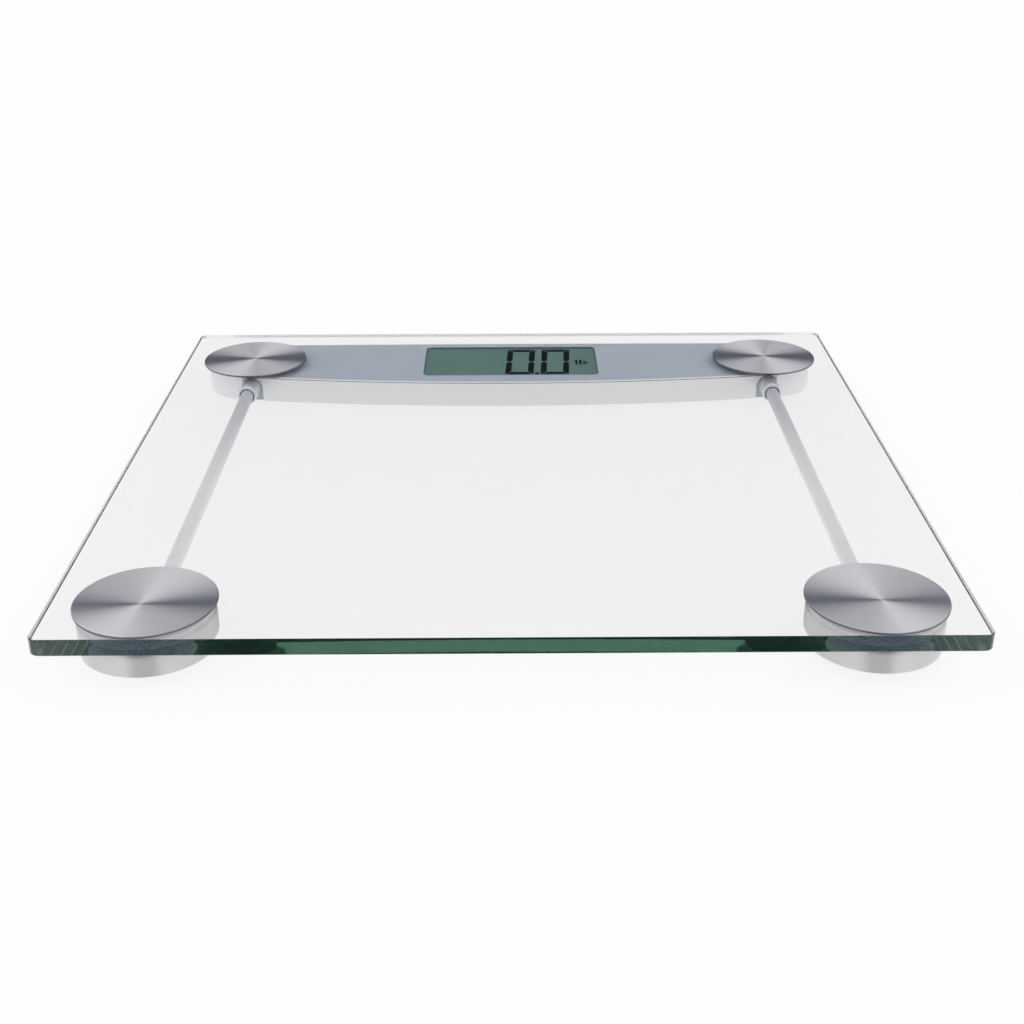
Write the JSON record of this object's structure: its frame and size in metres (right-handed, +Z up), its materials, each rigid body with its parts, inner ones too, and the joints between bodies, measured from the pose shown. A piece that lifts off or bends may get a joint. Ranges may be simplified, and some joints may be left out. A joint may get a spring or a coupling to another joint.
{
  "type": "glass platform scale",
  "caption": "Square clear glass platform scale on load-cell feet, with spun metal discs, a rear display bar and wire tubes under the glass.",
  "frame": {"origin": "on the floor under the middle of the glass platform", "axes": "+Z up, +X to the right for a reader facing the display, +Y from the reader towards the display bar"},
  "size_m": [0.3116, 0.3, 0.0208],
  "materials": {
    "clear_glass": "clear float glass, green at its ground edges",
    "spun_steel": "spun brushed finish with fan-shaped glints",
    "foam_tape": "grey acrylic tape and glue",
    "satin_steel": "drawn steel cup, brushed round its wall",
    "silver_paint": "silver metallic paint on ABS, satin",
    "grey_plastic": "fine texture, light grey ABS",
    "dark_plastic": "dark grey plastic",
    "white_plastic": "white plastic",
    "rubber": "matt black rubber",
    "plated_steel": "zinc-plated stamped steel",
    "white_coating": "white coating over the gauge",
    "satin_tube": "satin aluminium tube",
    "bright_ring": "bright silver plated plastic",
    "wire_insulation": "red, white and black insulation",
    "board_green": "green solder mask",
    "black_epoxy": "black epoxy",
    "display_glass": "grey-green reflective liquid crystal panel",
    "bright_metal": "nickel plated",
    "screw_steel": "zinc-plated screws"
  },
  "bodies": {
    "scale_frame": {"bar_cover": "grey_plastic", "bar_cover_screws": "screw_steel", "bar_shell": "silver_paint", "battery_contact_negative": "bright_metal", "battery_contact_positive": "bright_metal", "board_screws": "screw_steel", "cap_disc_front_left": "spun_steel", "cap_disc_front_right": "spun_steel", "cap_disc_rear_left": "spun_steel", "cap_disc_rear_right": "spun_steel", "cap_tape_front_left": "foam_tape", "cap_tape_front_right": "foam_tape", "cap_tape_rear_left": "foam_tape", "cap_tape_rear_right": "foam_tape", "circuit_board": "board_green", "coin_cell": "bright_metal", "contact_strip_front": "rubber", "contact_strip_rear": "rubber", "controller_chip": "black_epoxy", "glass_platform": "clear_glass", "glue_pad_front_left": "foam_tape", "glue_pad_front_right": "foam_tape", "glue_pad_rear_left": "foam_tape", "glue_pad_rear_right": "foam_tape", "lcd_panel": "display_glass", "load_cell_front_left": "plated_steel", "load_cell_front_right": "plated_steel", "load_cell_rear_left": "plated_steel", "load_cell_rear_right": "plated_steel", "load_cell_screws": "screw_steel", "panel_holder": "white_plastic", "pod_base_left": "grey_plastic", "pod_base_right": "grey_plastic", "pod_base_screws": "grey_plastic", "pod_shell_left": "satin_steel", "pod_shell_right": "satin_steel", "strain_gauge_front_left": "white_coating", "strain_gauge_front_right": "white_coating", "strain_gauge_rear_left": "white_coating", "strain_gauge_rear_right": "white_coating", "tube_ring_left": "bright_ring", "tube_ring_right": "bright_ring", "unit_switch": "dark_plastic", "wire_lead_front_left": "wire_insulation", "wire_lead_front_right": "wire_insulation", "wire_lead_rear_left": "wire_insulation", "wire_lead_rear_right": "wire_insulation", "wire_tube_left": "satin_tube", "wire_tube_right": "satin_tube"},
    "foot_front_left": {"foot_plunger_front_left": "grey_plastic", "foot_pad_front_left": "rubber"},
    "foot_front_right": {"foot_plunger_front_right": "grey_plastic", "foot_pad_front_right": "rubber"},
    "foot_rear_left": {"foot_plunger_rear_left": "grey_plastic", "foot_pad_rear_left": "rubber"},
    "foot_rear_right": {"foot_plunger_rear_right": "grey_plastic", "foot_pad_rear_right": "rubber"},
    "battery_door": {"battery_door": "grey_plastic"},
    "unit_button": {"unit_button": "dark_plastic", "unit_switch_plunger": "dark_plastic"}
  },
  "joints": [
    {"name": "foot_front_left_press", "type": "slide", "parent": "scale_frame", "child": "foot_front_left", "axis": [0, 0, 1], "range_m": [0, 0.0006], "stiffness_N_per_m": 40000},
    {"name": "foot_front_right_press", "type": "slide", "parent": "scale_frame", "child": "foot_front_right", "axis": [0, 0, 1], "range_m": [0, 0.0006], "stiffness_N_per_m": 40000},
    {"name": "foot_rear_left_press", "type": "slide", "parent": "scale_frame", "child": "foot_rear_left", "axis": [0, 0, 1], "range_m": [0, 0.0006], "stiffness_N_per_m": 40000},
    {"name": "foot_rear_right_press", "type": "slide", "parent": "scale_frame", "child": "foot_rear_right", "axis": [0, 0, 1], "range_m": [0, 0.0006], "stiffness_N_per_m": 40000},
    {"name": "battery_door_hinge", "type": "hinge", "parent": "scale_frame", "child": "battery_door", "pos_m": [0.057, 0.115, 0.003], "axis": [0, 1, 0], "range_deg": [0, 85]},
    {"name": "unit_button_press", "type": "slide", "parent": "scale_frame", "child": "unit_button", "axis": [0, 0, 1], "range_m": [0, 0.0005], "stiffness_N_per_m": 800}
  ]
}
